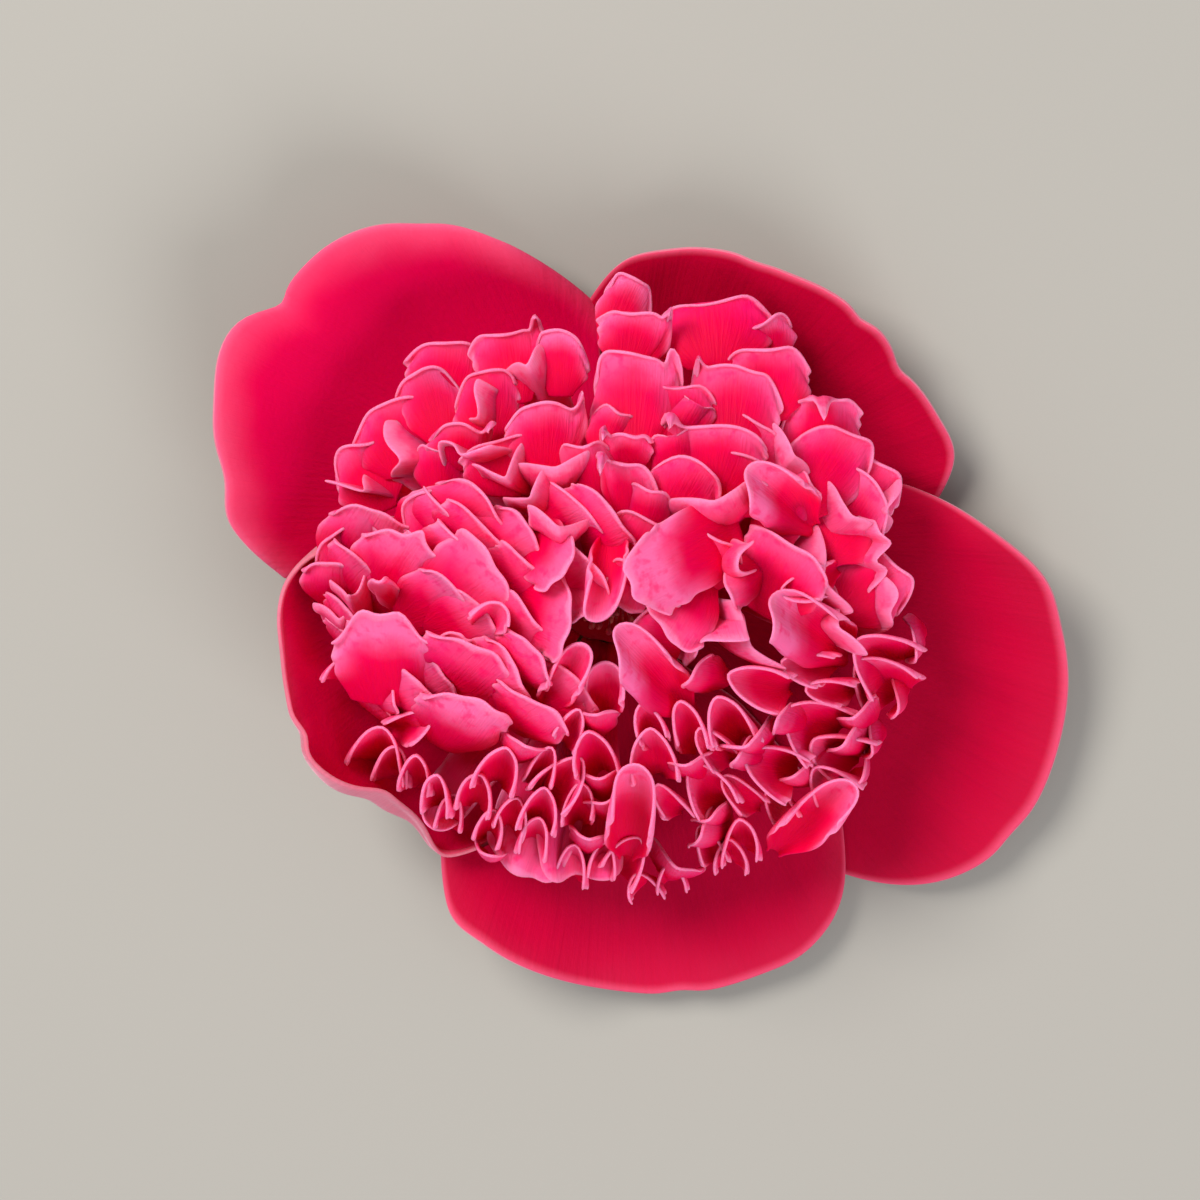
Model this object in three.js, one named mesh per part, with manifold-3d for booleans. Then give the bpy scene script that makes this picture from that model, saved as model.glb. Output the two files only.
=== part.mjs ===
// An anemone-form camellia, as picked: a short stalk with bracts and sepals, five broad guard
// petals, and a dome of folded petaloids round a small well with a few stamens and the pistil.
// Millimetres, +Z up, the flower lying face up. Azimuths are in degrees from +X towards +Y.
import * as THREE from 'three';
import { mergeVertices } from 'three/addons/utils/BufferGeometryUtils.js';
import Module from 'manifold-3d';

const wasm = await Module();
wasm.setup();

// ---- driving dimensions --------------------------------------------------------------------

// Receptacle and stalk
const STALK_RADIUS = 3.0;
const NECK_RADIUS = 3.6;
const CUSHION_RADIUS = 7.7;
const CUSHION_HEIGHT = 6.0;
const CUSHION_STEPS = 6;
const LATHE_SIDES = 20;

// Guard petals: one shallow bowl, whose rim rises by a different amount at each azimuth
const GUARD_THICKNESS = 0.8;
const GUARD_BASE_RADIUS = 8.1;
const GUARD_BASE_HEIGHT = 5.6;
const GUARD_BELLY_HEIGHT = 1.25;
const GUARD_BELLY_RADIUS = 22;
const GUARD_CLAW_HALF_ANGLE = 30;
const GUARD_LAYER = 0.75;
const GUARD_RISE_RADIUS = 42;
const GUARD_RISE_POWER = 1.6;
const GUARD_RISES = [
  [-153, 28], [-118, 10], [-86, 1.5], [-22, 2], [14, 7], [54, 13.5], [96, 12], [137, 8], [172, 17],
];
// edge: distances from the axis to the rim, evenly spaced across the petal
// low, high: -1 where that side edge tucks under its neighbour, +1 where it lies over it
const GUARD_PETALS = [
  { name: 'guard_petal_upper_left', azimuth: 137, halfAngle: 42, low: -1, high: 1,
    edge: [33, 42, 49, 48.5, 50, 45, 37] },
  { name: 'guard_petal_upper_right', azimuth: 54, halfAngle: 43, low: 1, high: 1,
    edge: [37, 40.5, 41.5, 40.5, 40.5, 39, 34] },
  { name: 'guard_petal_right', azimuth: -22, halfAngle: 40, low: 1, high: -1,
    edge: [36, 47, 53, 54, 51.5, 46, 37] },
  { name: 'guard_petal_lower', azimuth: -86, halfAngle: 38, low: 1, high: -1,
    edge: [36, 43.5, 47, 49, 49.5, 47, 37] },
  { name: 'guard_petal_raised_left', azimuth: 207, halfAngle: 40, low: -1, high: -1,
    edge: [34, 37.5, 38.5, 38, 37.5, 37, 36] },
];

// Sepals and bracts, round the receptacle under the guard petals
const SCALE_THICKNESS = 0.8;
const SCALE_CUP = 0.15;
// drop: how far the inner end lies under the guard petals; slope: how fast the scale falls outwards
const SEPALS = {
  name: 'sepal', count: 5, azimuth: 20, halfAngle: 33, inner: 5.8, outer: 14, drop: 2.35, slope: 0.12,
};
const BRACTS = {
  name: 'bract', count: 3, azimuth: 60, halfAngle: 50, inner: 3.9, outer: 9.2, drop: 3.5, slope: 0.18,
};

// Petaloids
const DOME_TOP = 34;
const DOME_RADIUS = 35;
const DOME_DROP = 20;
const PETALOID_THICKNESS = 0.55;
const PETALOID_BASE_GAP = 0.35;
const PETALOID_CLAW = 0.24;
const PETALOID_WIDEST = 0.78;
const PETALOID_GAP = 0.34;
const PETALOID_JOIN = 0.4;
const CLAW_GATHER = 0.7;
const NEIGHBOUR_REACH = 13;
const GUARD_CLEARANCE = 6.2;
const WELL_RADIUS = 2.9;
const FOLD_ANGLE = 50;
const SPOON_ANGLE = 14;

// Each fascicle is a few petaloids grown together at their claws: x and y of each tip, its half
// width, and whether the blade is folded along its middle or open like a spoon.
const F = 'folded';
const S = 'spoon';
const FASCICLES = [
  [[-24, 22, 5, S], [-24, 16, 5, F]],
  [[-15, 27, 5, S], [-15, 22, 4.5, F]],
  [[-10, 27, 5, F], [-5, 29, 5.5, S], [-7, 22.5, 5, S]],
  [[-16, 17.5, 5, F], [-11, 16, 4.5, F], [-5.5, 18, 5.5, F]],
  [[-20.5, 13.5, 4.5, F], [-16, 10.5, 6, S]],
  [[-27.5, 12.5, 5, F], [-26, 8, 5.5, S]],
  [[-15.5, 4.5, 5.5, S], [-21.5, 6, 5.5, S]],
  [[-31, 4.5, 4.5, F], [-33, -1, 4.5, F]],
  [[-27.5, 1.5, 4.5, F], [-22, 1, 4, F]],
  [[-24.5, -5.5, 7, S], [-31.5, -8, 5, F]],
  [[-11, 2, 5, F], [-17, -3.5, 4.5, F], [-12.5, -6, 5, S]],
  [[-7.5, 7.5, 5, S], [-6, 2, 5, S]],
  [[-9, -2.5, 4.5, S], [-3.5, -5.5, 4, F], [-7.5, -9.5, 5, F]],
  [[-18.5, -12, 6.5, S], [-11, -15.5, 5, F]],
  [[-30, -14.5, 5, F], [-25, -16.5, 5, F]],
  [[-23, -22, 5, F], [-19.5, -27, 4.5, F], [-18, -21, 4.5, F]],
  [[-13.5, -21.5, 4.5, F], [-9, -20, 5, F], [-14, -26, 4.5, S]],
  [[-9.5, -31.5, 6, S], [-4, -31.5, 5.5, S]],
  [[-8, -25.5, 4.5, F], [-2.5, -25.5, 4.5, F]],
  [[-3.5, -17, 5, F], [-2, -12, 5, F]],
  [[3, -21.5, 6, S], [9, -24.5, 5, F], [10, -17, 5, F]],
  [[3.5, -29.5, 4.5, F], [9.5, -31.5, 5, F], [15.5, -29.5, 5, F]],
  [[4.5, -12, 5, F], [5, -6, 5.5, S], [0.5, -7, 4, F]],
  [[14.5, -24, 5, F], [20.5, -24.5, 6, S]],
  [[16, -16.5, 5, F], [14, -11.5, 5, F]],
  [[14.5, -6.5, 4.5, F], [16, -2, 5, F]],
  [[11, -1.5, 4.5, F], [6.8, 0.5, 4.5, F]],
  [[21, -12, 5, F], [26, -11, 4.5, F]],
  [[23.5, -17, 4.5, F], [26, -22, 4.5, F], [29, -16.5, 4.5, F]],
  [[29, -6, 5, F], [33, -8, 4.5, F]],
  [[20.5, -3.5, 6, S], [25.5, -1.5, 4.5, F]],
  [[30.5, -1, 4.5, F], [33.5, 4, 4.5, F]],
  [[24.5, 4, 5.5, S], [29, 5, 4.5, F]],
  [[26, 10.5, 4.5, F], [31, 10, 4.5, F]],
  [[20.5, 8, 5, S], [15, 6, 5, S]],
  [[17, 12.5, 5.5, S], [21.5, 17, 5, F]],
  [[30, 16, 4.5, F], [26, 19, 4.5, F]],
  [[22, 23.5, 5, F], [17.5, 28.5, 5, S]],
  [[13, 24, 6, S], [10.5, 32, 5.5, S]],
  [[9, 19.5, 5.5, F], [11.5, 15, 5, F]],
  [[3, 25, 5.5, S], [4, 29.5, 5, S], [1, 33.5, 5, S]],
  [[0.5, 20, 4.5, F], [3, 15.5, 4.5, F]],
  [[-4.5, 12.5, 5, F], [-10, 12, 5, F]],
  [[7.5, 9, 7, S], [0.5, 7, 5, F]],
];

// Pistil and stamens in the well
const PISTIL_RADIUS = 1.1;
const PISTIL_TOP = 27;
const STAMEN_COUNT = 7;
const STAMEN_RING_RADIUS = 2.0;
const STAMEN_RING_WALL = 0.35;
const STAMEN_RING_TOP = 17;
const STAMEN_TOP = 25.5;
const FILAMENT_RADIUS = 0.35;
const ANTHER_RADIUS = 0.6;
const SMALL_GAP = 0.35;

// ---- materials -----------------------------------------------------------------------------

const finish = (color, roughness) => () => (
  new THREE.MeshStandardMaterial({ color, roughness, metalness: 0 })
);
const crimson = finish(0xc80038, 0.6);
const rosePink = finish(0xe6326a, 0.6);
const paleGreen = finish(0xa9b678, 0.7);
const cream = finish(0xecc9b4, 0.6);

// ---- helpers -------------------------------------------------------------------------------

const radians = THREE.MathUtils.degToRad;
const smooth = THREE.MathUtils.smoothstep;
const vector = (x, y, z) => new THREE.Vector3(x, y, z);
const polar = (radius, azimuth, z) => (
  vector(radius * Math.cos(azimuth), radius * Math.sin(azimuth), z)
);

function closedShape(geometry) {
  const bare = geometry.clone();
  bare.deleteAttribute('normal');
  bare.deleteAttribute('uv');
  return mergeVertices(bare, 1e-4);
}

function toSolid(geometry) {
  const shape = closedShape(geometry);
  const vertProperties = new Float32Array(shape.attributes.position.array);
  const triVerts = new Uint32Array(shape.index.array);
  return new wasm.Manifold(new wasm.Mesh({ numProp: 3, vertProperties, triVerts }));
}

function toGeometry(solid) {
  const mesh = solid.getMesh();
  const geometry = new THREE.BufferGeometry();
  geometry.setAttribute('position', new THREE.BufferAttribute(mesh.vertProperties, 3));
  geometry.setIndex(new THREE.BufferAttribute(mesh.triVerts, 1));
  geometry.computeVertexNormals();
  return geometry;
}

// A slab bent over a surface: surface(u, v) gives the middle of the sheet for u from -1 to 1
// across it and v from 0 to 1 along it, and lift(u) moves the sheet along its own normal.
function bentSheet(across, along, thickness, surface, lift = () => 0) {
  const sheet = closedShape(new THREE.BoxGeometry(2, thickness, 1, across, 1, along));
  const position = sheet.attributes.position;
  const step = 0.01;
  for (let i = 0; i < position.count; i += 1) {
    const u = position.getX(i);
    const v = position.getZ(i) + 0.5;
    const alongSheet = surface(u, v + step).sub(surface(u, v - step));
    const acrossSheet = surface(u + step, v).sub(surface(u - step, v));
    const normal = alongSheet.cross(acrossSheet).normalize();
    const point = surface(u, v).addScaledVector(normal, position.getY(i) + lift(u));
    position.setXYZ(i, point.x, point.y, point.z);
  }
  return sheet;
}

function namedMesh(name, geometry, material) {
  const mesh = new THREE.Mesh(geometry, material());
  mesh.name = name;
  return mesh;
}

// ---- receptacle and stalk ------------------------------------------------------------------

function receptacle() {
  const profile = [
    new THREE.Vector2(0, 0),
    new THREE.Vector2(STALK_RADIUS, 0),
    new THREE.Vector2(STALK_RADIUS, 1.6),
    new THREE.Vector2(NECK_RADIUS, 3.2),
    new THREE.Vector2(5.4, 4.2),
    new THREE.Vector2(7.2, 5.1),
  ];
  for (let i = 0; i <= CUSHION_STEPS; i += 1) {
    const angle = (i / CUSHION_STEPS) * (Math.PI / 2);
    profile.push(new THREE.Vector2(
      i === CUSHION_STEPS ? 0 : CUSHION_RADIUS * Math.cos(angle),
      CUSHION_HEIGHT + CUSHION_RADIUS * Math.sin(angle),
    ));
  }
  const geometry = new THREE.LatheGeometry(profile, LATHE_SIDES).rotateX(Math.PI / 2);
  return namedMesh('receptacle_and_stalk', closedShape(geometry), paleGreen);
}

// ---- guard petals --------------------------------------------------------------------------

function guardRise(azimuth) {
  const turn = THREE.MathUtils.euclideanModulo(azimuth - GUARD_RISES[0][0], 360) + GUARD_RISES[0][0];
  for (let i = 0; i < GUARD_RISES.length; i += 1) {
    const [start, low] = GUARD_RISES[i];
    const [end, high] = i + 1 < GUARD_RISES.length
      ? GUARD_RISES[i + 1] : [GUARD_RISES[0][0] + 360, GUARD_RISES[0][1]];
    if (turn <= end) {
      return low + (high - low) * smooth(turn, start, end);
    }
  }
  return GUARD_RISES[0][1];
}

function guardHeight(radius, azimuth) {
  const sink = 1 - smooth(radius, GUARD_BASE_RADIUS, GUARD_BELLY_RADIUS);
  const climb = Math.max(0, radius - GUARD_BELLY_RADIUS) / (GUARD_RISE_RADIUS - GUARD_BELLY_RADIUS);
  return GUARD_BELLY_HEIGHT + (GUARD_BASE_HEIGHT - GUARD_BELLY_HEIGHT) * sink
    + guardRise(azimuth) * climb ** GUARD_RISE_POWER;
}

function guardPetal(petal) {
  const rim = new THREE.SplineCurve(petal.edge.map((radius, i) => new THREE.Vector2(i, radius)));
  const surface = (u, v) => {
    const reach = rim.getPoint(THREE.MathUtils.clamp((u + 1) / 2, 0, 1)).y;
    const radius = GUARD_BASE_RADIUS + (reach - GUARD_BASE_RADIUS) * v;
    const spread = smooth(v, 0, 0.45);
    const half = GUARD_CLAW_HALF_ANGLE + (petal.halfAngle - GUARD_CLAW_HALF_ANGLE) * spread;
    const azimuth = petal.azimuth + half * u;
    return polar(radius, radians(azimuth), guardHeight(radius, azimuth));
  };
  const lift = (u) => {
    const side = u < 0 ? petal.low : petal.high;
    return -side * GUARD_LAYER * smooth(Math.abs(u), 0.15, 0.6);
  };
  return namedMesh(petal.name, bentSheet(10, 9, GUARD_THICKNESS, surface, lift), crimson);
}

// ---- sepals and bracts ---------------------------------------------------------------------

function calyxScales(row) {
  const scales = [];
  for (let i = 0; i < row.count; i += 1) {
    const middle = row.azimuth + (360 / row.count) * i;
    const surface = (u, v) => {
      const reach = row.outer - (row.outer - row.inner) * 0.35 * u ** 4;
      const radius = row.inner + (reach - row.inner) * v;
      const azimuth = radians(middle + row.halfAngle * u * (1 - 0.35 * v ** 3));
      const slope = guardHeight(GUARD_BASE_RADIUS + Math.max(0, radius - GUARD_BASE_RADIUS) / 2, middle);
      const cup = SCALE_CUP * (u * u + v * v);
      return polar(radius, azimuth, slope - row.drop - row.slope * (radius - row.inner) + cup);
    };
    const sheet = bentSheet(4, 3, SCALE_THICKNESS, surface);
    scales.push(namedMesh(`${row.name}_${i + 1}`, sheet, paleGreen));
  }
  return scales;
}

// ---- petaloids -----------------------------------------------------------------------------

// The straight middle line of a petaloid, from its claw on the cushion to its tip on the dome.
function petaloidLine([x, y, halfWidth, kind]) {
  const radius = Math.hypot(x, y);
  const azimuth = Math.atan2(y, x);
  const dome = DOME_TOP - DOME_DROP * (radius / DOME_RADIUS) ** 2;
  const above = guardHeight(radius, THREE.MathUtils.radToDeg(azimuth)) + GUARD_CLEARANCE;
  const tip = vector(x, y, Math.max(dome, above));
  const lean = Math.atan2(radius, tip.z - CUSHION_HEIGHT);
  const clawLean = radians(13) + lean * 0.93;
  const clawRadius = CUSHION_RADIUS + PETALOID_BASE_GAP;
  const claw = polar(
    clawRadius * Math.sin(clawLean), azimuth, CUSHION_HEIGHT + clawRadius * Math.cos(clawLean),
  );
  const outward = polar(1, azimuth, 0);
  return { claw, tip, outward, halfWidth, fold: radians(kind === F ? FOLD_ANGLE : SPOON_ANGLE), kind };
}

function petaloidBlade(line) {
  const along = line.tip.clone().sub(line.claw);
  const across = vector(0, 0, 1).cross(line.outward);
  const out = across.clone().cross(along).negate().normalize();
  if (out.dot(line.outward) < 0) {
    out.negate();
  }
  const surface = (u, v) => {
    const swell = PETALOID_CLAW + (1 - PETALOID_CLAW) * smooth(v, 0, PETALOID_WIDEST);
    const half = line.halfWidth * swell * (1 - 0.35 * smooth(v, PETALOID_WIDEST, 1.1));
    const reach = 1 - 0.14 * u * u;
    const depth = line.kind === F ? Math.abs(u) - 0.45 : u * u - 0.4;
    return line.claw.clone()
      .addScaledVector(along, v * reach)
      .addScaledVector(across, half * Math.cos(line.fold) * u)
      .addScaledVector(out, half * Math.sin(line.fold) * depth);
  };
  return toSolid(bentSheet(line.kind === F ? 2 : 4, 3, PETALOID_THICKNESS, surface));
}

// The plane half way between two petaloids, facing the first.
function planeBetween(one, other) {
  const low = one.claw.clone().add(other.claw).multiplyScalar(0.5);
  const high = one.tip.clone().add(other.tip).multiplyScalar(0.5);
  const along = high.sub(low).normalize();
  const normal = one.tip.clone().sub(other.tip).normalize();
  normal.add(one.claw.clone().sub(other.claw).normalize());
  normal.addScaledVector(along, -normal.dot(along)).normalize();
  return { normal, offset: normal.dot(low) };
}

// Keeps of a solid what lies on one petaloid's own side of all its neighbours.
function keepOwnSide(solid, line, allLines, fascicle) {
  let kept = solid.trimByPlane(line.outward.toArray(), WELL_RADIUS);
  allLines.forEach((other) => {
    if (other === line || other.tip.distanceTo(line.tip) > NEIGHBOUR_REACH) {
      return;
    }
    const { normal, offset } = planeBetween(line, other);
    const clear = fascicle.includes(other) ? -PETALOID_JOIN : PETALOID_GAP / 2;
    kept = kept.trimByPlane(normal.toArray(), offset + clear);
  });
  return kept;
}

// Draws the claws of one fascicle together on the cushion, so that they grow from one foot.
function gatherClaws(lines) {
  const top = vector(0, 0, CUSHION_HEIGHT);
  const foot = vector(0, 0, 0);
  lines.forEach((line) => foot.addScaledVector(line.claw, 1 / lines.length));
  lines.forEach((line) => {
    line.claw.lerp(foot, CLAW_GATHER).sub(top).setLength(CUSHION_RADIUS + PETALOID_BASE_GAP).add(top);
  });
  return lines;
}

function petaloids() {
  const fascicles = FASCICLES.map((tips) => gatherClaws(tips.map(petaloidLine)));
  const allLines = fascicles.flat();
  return fascicles.map((lines, index) => {
    const blades = lines.map((line) => keepOwnSide(petaloidBlade(line), line, allLines, lines));
    const joined = blades.reduce((fused, blade) => fused.add(blade));
    const number = String(index + 1).padStart(2, '0');
    return namedMesh(`petaloids_${number}`, toGeometry(joined), rosePink);
  });
}

// ---- pistil and stamens --------------------------------------------------------------------

function pistil() {
  const foot = CUSHION_HEIGHT + CUSHION_RADIUS + SMALL_GAP;
  const profile = [
    new THREE.Vector2(0, foot),
    new THREE.Vector2(PISTIL_RADIUS, foot),
    new THREE.Vector2(PISTIL_RADIUS, foot + 2),
    new THREE.Vector2(PISTIL_RADIUS * 0.5, foot + 4),
    new THREE.Vector2(PISTIL_RADIUS * 0.4, PISTIL_TOP - 1),
    new THREE.Vector2(PISTIL_RADIUS * 0.7, PISTIL_TOP),
    new THREE.Vector2(0, PISTIL_TOP),
  ];
  const geometry = new THREE.LatheGeometry(profile, 8).rotateX(Math.PI / 2);
  return namedMesh('pistil', closedShape(geometry), cream);
}

function stamens() {
  const inner = STAMEN_RING_RADIUS - STAMEN_RING_WALL;
  const outer = STAMEN_RING_RADIUS + STAMEN_RING_WALL;
  const foot = CUSHION_HEIGHT + CUSHION_RADIUS + SMALL_GAP;
  const profile = [
    new THREE.Vector2(inner, foot),
    new THREE.Vector2(outer, foot),
    new THREE.Vector2(outer, STAMEN_RING_TOP),
    new THREE.Vector2(inner, STAMEN_RING_TOP),
    new THREE.Vector2(inner, foot),
  ];
  let tuft = toSolid(new THREE.LatheGeometry(profile, 14).rotateX(Math.PI / 2));
  for (let i = 0; i < STAMEN_COUNT; i += 1) {
    const azimuth = (2 * Math.PI * i) / STAMEN_COUNT;
    const top = STAMEN_TOP - (i % 3) * 1.5;
    const length = top - STAMEN_RING_TOP + 1;
    const filament = new THREE.CylinderGeometry(FILAMENT_RADIUS, FILAMENT_RADIUS, length, 6);
    filament.rotateX(Math.PI / 2);
    const anther = new THREE.SphereGeometry(ANTHER_RADIUS, 6, 4);
    const place = polar(STAMEN_RING_RADIUS, azimuth, top - length / 2);
    filament.translate(place.x, place.y, place.z);
    anther.translate(place.x, place.y, top);
    tuft = tuft.add(toSolid(filament)).add(toSolid(anther));
  }
  return namedMesh('stamens', toGeometry(tuft), cream);
}

// ---- the flower ----------------------------------------------------------------------------

const calyx = new THREE.Group();
calyx.add(receptacle(), ...calyxScales(SEPALS), ...calyxScales(BRACTS));

const corolla = new THREE.Group();
corolla.add(...GUARD_PETALS.map(guardPetal));

const centre = new THREE.Group();
centre.add(...petaloids(), pistil(), stamens());

const flower = new THREE.Group();
flower.add(calyx, corolla, centre);

// The origin is under the middle of the flower's box, on the surface that it lies on.
const box = new THREE.Box3().setFromObject(flower);
const middle = box.getCenter(new THREE.Vector3());
flower.position.set(-middle.x, -middle.y, -box.min.z);

const part = new THREE.Group();
part.add(flower);
export default part;
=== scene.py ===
import math
import random

import bmesh
import bpy
import numpy as np
from mathutils import Matrix, Vector


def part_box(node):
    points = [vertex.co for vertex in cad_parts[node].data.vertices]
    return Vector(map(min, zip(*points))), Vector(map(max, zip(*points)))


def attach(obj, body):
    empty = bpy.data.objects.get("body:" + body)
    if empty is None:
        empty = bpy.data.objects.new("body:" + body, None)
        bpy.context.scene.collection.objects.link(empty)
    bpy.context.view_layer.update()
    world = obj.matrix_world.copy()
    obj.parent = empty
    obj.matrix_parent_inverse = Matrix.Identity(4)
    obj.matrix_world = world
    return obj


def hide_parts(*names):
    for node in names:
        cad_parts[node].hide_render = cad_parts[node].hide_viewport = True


bl_info = {
    "name": "Camellia Flower",
    "version": (1, 0, 0),
    "blender": (4, 5, 0),
    "location": "View3D > Sidebar > Camellia",
    "description": "Builds an anemone-form camellia bloom, lying face up, round its packed frame",
    "category": "Object",
}

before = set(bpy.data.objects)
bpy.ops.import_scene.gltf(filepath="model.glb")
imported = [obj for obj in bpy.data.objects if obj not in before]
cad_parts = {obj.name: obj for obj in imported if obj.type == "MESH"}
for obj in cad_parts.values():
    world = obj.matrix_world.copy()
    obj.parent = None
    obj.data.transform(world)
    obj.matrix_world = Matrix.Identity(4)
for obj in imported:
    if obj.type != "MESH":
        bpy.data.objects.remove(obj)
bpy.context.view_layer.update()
MM = 0.001
# Nearly a whole turn, in radians: the range of the waves' random phases
TURN = 6.28
# How far apart, in a sheet's u and v, the two places are that give its direction
SLOPE_STEP = 0.004

# The flower's axis and the surface it lies on, from the frame. All other places are in
# millimetres from these two.
PISTIL_LOW, PISTIL_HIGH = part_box("pistil")
AXIS_X = (PISTIL_LOW[0] + PISTIL_HIGH[0]) / 2
AXIS_Y = (PISTIL_LOW[1] + PISTIL_HIGH[1]) / 2
FLOOR_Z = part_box("receptacle_and_stalk")[0][2]
CUSHION_TOP = (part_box("receptacle_and_stalk")[1][2] - FLOOR_Z) / MM
CUSHION_RADIUS = (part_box("receptacle_and_stalk")[1][0] - AXIS_X) / MM
CUSHION_HEIGHT = CUSHION_TOP - CUSHION_RADIUS


# ---- sizes and colours that a user would change ---------------------------------------------

def length(name, description, default):
    return bpy.props.FloatProperty(name=name, description=description, default=default, unit="LENGTH")


def colour(name, description, *default):
    return bpy.props.FloatVectorProperty(
        name=name, description=description, subtype="COLOR", size=3, default=default)


class CamelliaSizes(bpy.types.PropertyGroup):
    petal_thickness: length("Guard Petal Thickness", "Thickness of a guard petal", 0.00055)
    petaloid_thickness: length("Petaloid Thickness", "Thickness of a petaloid blade", 0.00034)
    scale_thickness: length("Sepal Thickness", "Thickness of a sepal or bract", 0.0006)
    dome_top: length("Dome Height", "Height of the petaloid dome above the surface", 0.034)
    seed: bpy.props.IntProperty(
        name="Seed", description="Start of the small natural differences between petaloids",
        default=7)


class CamelliaColours(bpy.types.PropertyGroup):
    crimson: colour("Crimson", "Face of the guard petals", 0.42, 0, 0.025)
    # Deep Crimson is painted shade: the darker foot and middle line of each petaloid, the darker foot of each
    # guard petal, and, darker still, the cushion's top
    deep: colour("Deep Crimson", "Shaded foot of petals and petaloids", 0.74, 0, 0.044)
    rose: colour("Rose", "Face of the petaloids", 0.91, 0, 0.105)
    margin: colour("Margin", "Pale lilac-pink edge of the petaloids", 0.93, 0.19, 0.36)
    # Blush is the petaloids' own paler band; its strength, set per blade, also paints shade on blades in
    # shade
    blush_and_painted_light: colour("Blush", "Broad paler band inside the petaloids' edges", 0.93, 0.115, 0.29)
    # Rim also gives the painted sheen towards the tips of the lit guard petals
    rim: colour("Rim", "Thin paler rim of the guard petals", 0.78, 0.1, 0.2)
    back: colour("Back", "Paler, downy back of the guard petals", 0.64, 0.17, 0.24)
    green: colour("Green", "Sepals and stalk", 0.3, 0.36, 0.09)


class CamelliaStudio(bpy.types.PropertyGroup):
    tilt: bpy.props.FloatProperty(
        name="View Tilt", description="Angle of the view from straight above, towards +Y",
        default=math.radians(13), subtype="ANGLE")
    swing: bpy.props.FloatProperty(
        name="View Swing", description="Angle of the view from straight above, towards +X",
        default=math.radians(2.5), subtype="ANGLE")
    distance: length("Distance", "Camera to flower", 0.5)
    frame_width: length("Framed Width", "Width of the view at the flower", 0.132)


# ---- the shape of the flower ----------------------------------------------------------------

DOME_RADIUS = 35
DOME_DROP = 20
# How far out petaloids may be, by azimuth: less in the raised petal's rolled rim
DOME_REACHES = [(160, 35), (168, 30), (196, 30), (212, 33), (226, 33), (240, 35)]
GUARD_BASE_RADIUS = 8.1
GUARD_BASE_HEIGHT = 5.6
GUARD_BELLY_HEIGHT = 1.25
GUARD_BELLY_RADIUS = 22
GUARD_CLAW_HALF_ANGLE = 30
GUARD_LAYER = 0.75
GUARD_RISE_RADIUS = 42
GUARD_RISE_POWER = 1.6
GUARD_RISES = [
    (-153, 28), (-118, 10), (-86, 1.5), (-22, 2), (14, 7), (54, 13.5), (96, 12), (137, 8), (172, 17),
]


def smooth(value, low, high):
    t = np.clip((value - low) / (high - low), 0, 1)
    return t * t * (3 - 2 * t)


def beyond(value, start):
    """How far a value is past start, as a share of the way to 1."""
    return np.clip((value - start) / (1 - start), 0, 1)


def guard_rise(azimuth):
    """How steeply the guard petals' bowl rises at an azimuth in degrees."""
    first = GUARD_RISES[0][0]
    turn = np.mod(np.asarray(azimuth, float) - first, 360) + first
    stops = [*GUARD_RISES, (first + 360, GUARD_RISES[0][1])]
    rise = np.full_like(turn, stops[0][1])
    for (start, low), (end, high) in zip(stops, stops[1:]):
        here = (turn >= start) & (turn <= end)
        rise = np.where(here, low + (high - low) * smooth(turn, start, end), rise)
    return rise


def guard_height(radius, azimuth):
    sink = 1 - smooth(radius, GUARD_BASE_RADIUS, GUARD_BELLY_RADIUS)
    climb = np.maximum(0, radius - GUARD_BELLY_RADIUS) / (GUARD_RISE_RADIUS - GUARD_BELLY_RADIUS)
    return (GUARD_BELLY_HEIGHT + (GUARD_BASE_HEIGHT - GUARD_BELLY_HEIGHT) * sink
            + guard_rise(azimuth) * climb ** GUARD_RISE_POWER)


def curve_through(values, t):
    """A smooth curve through evenly spaced values, read at t from 0 to 1."""
    values = np.asarray(values, float)
    padded = np.concatenate([[2 * values[0] - values[1]], values, [2 * values[-1] - values[-2]]])
    place = np.clip(t, 0, 1) * (len(values) - 1)
    i = np.minimum(place.astype(int), len(values) - 2)
    f = place - i
    a, b, c, d = (padded[i + k] for k in range(4))
    return 0.5 * (2 * b + (c - a) * f + (2 * a - 5 * b + 4 * c - d) * f ** 2
                  + (3 * b - a - 3 * c + d) * f ** 3)


def polar(radius, azimuth, z):
    angle = np.radians(azimuth)
    return np.stack([radius * np.cos(angle), radius * np.sin(angle), z + 0 * radius * angle], axis=-1)


# ---- sheets: every petal, petaloid and sepal is a grid bent over a surface ------------------

def normals_of(surface, u, v):
    along = surface(u, v + SLOPE_STEP) - surface(u, v - SLOPE_STEP)
    across = surface(u + SLOPE_STEP, v) - surface(u - SLOPE_STEP, v)
    normal = np.cross(across, along)
    return normal / np.maximum(np.linalg.norm(normal, axis=-1, keepdims=True), 1e-9)


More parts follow.
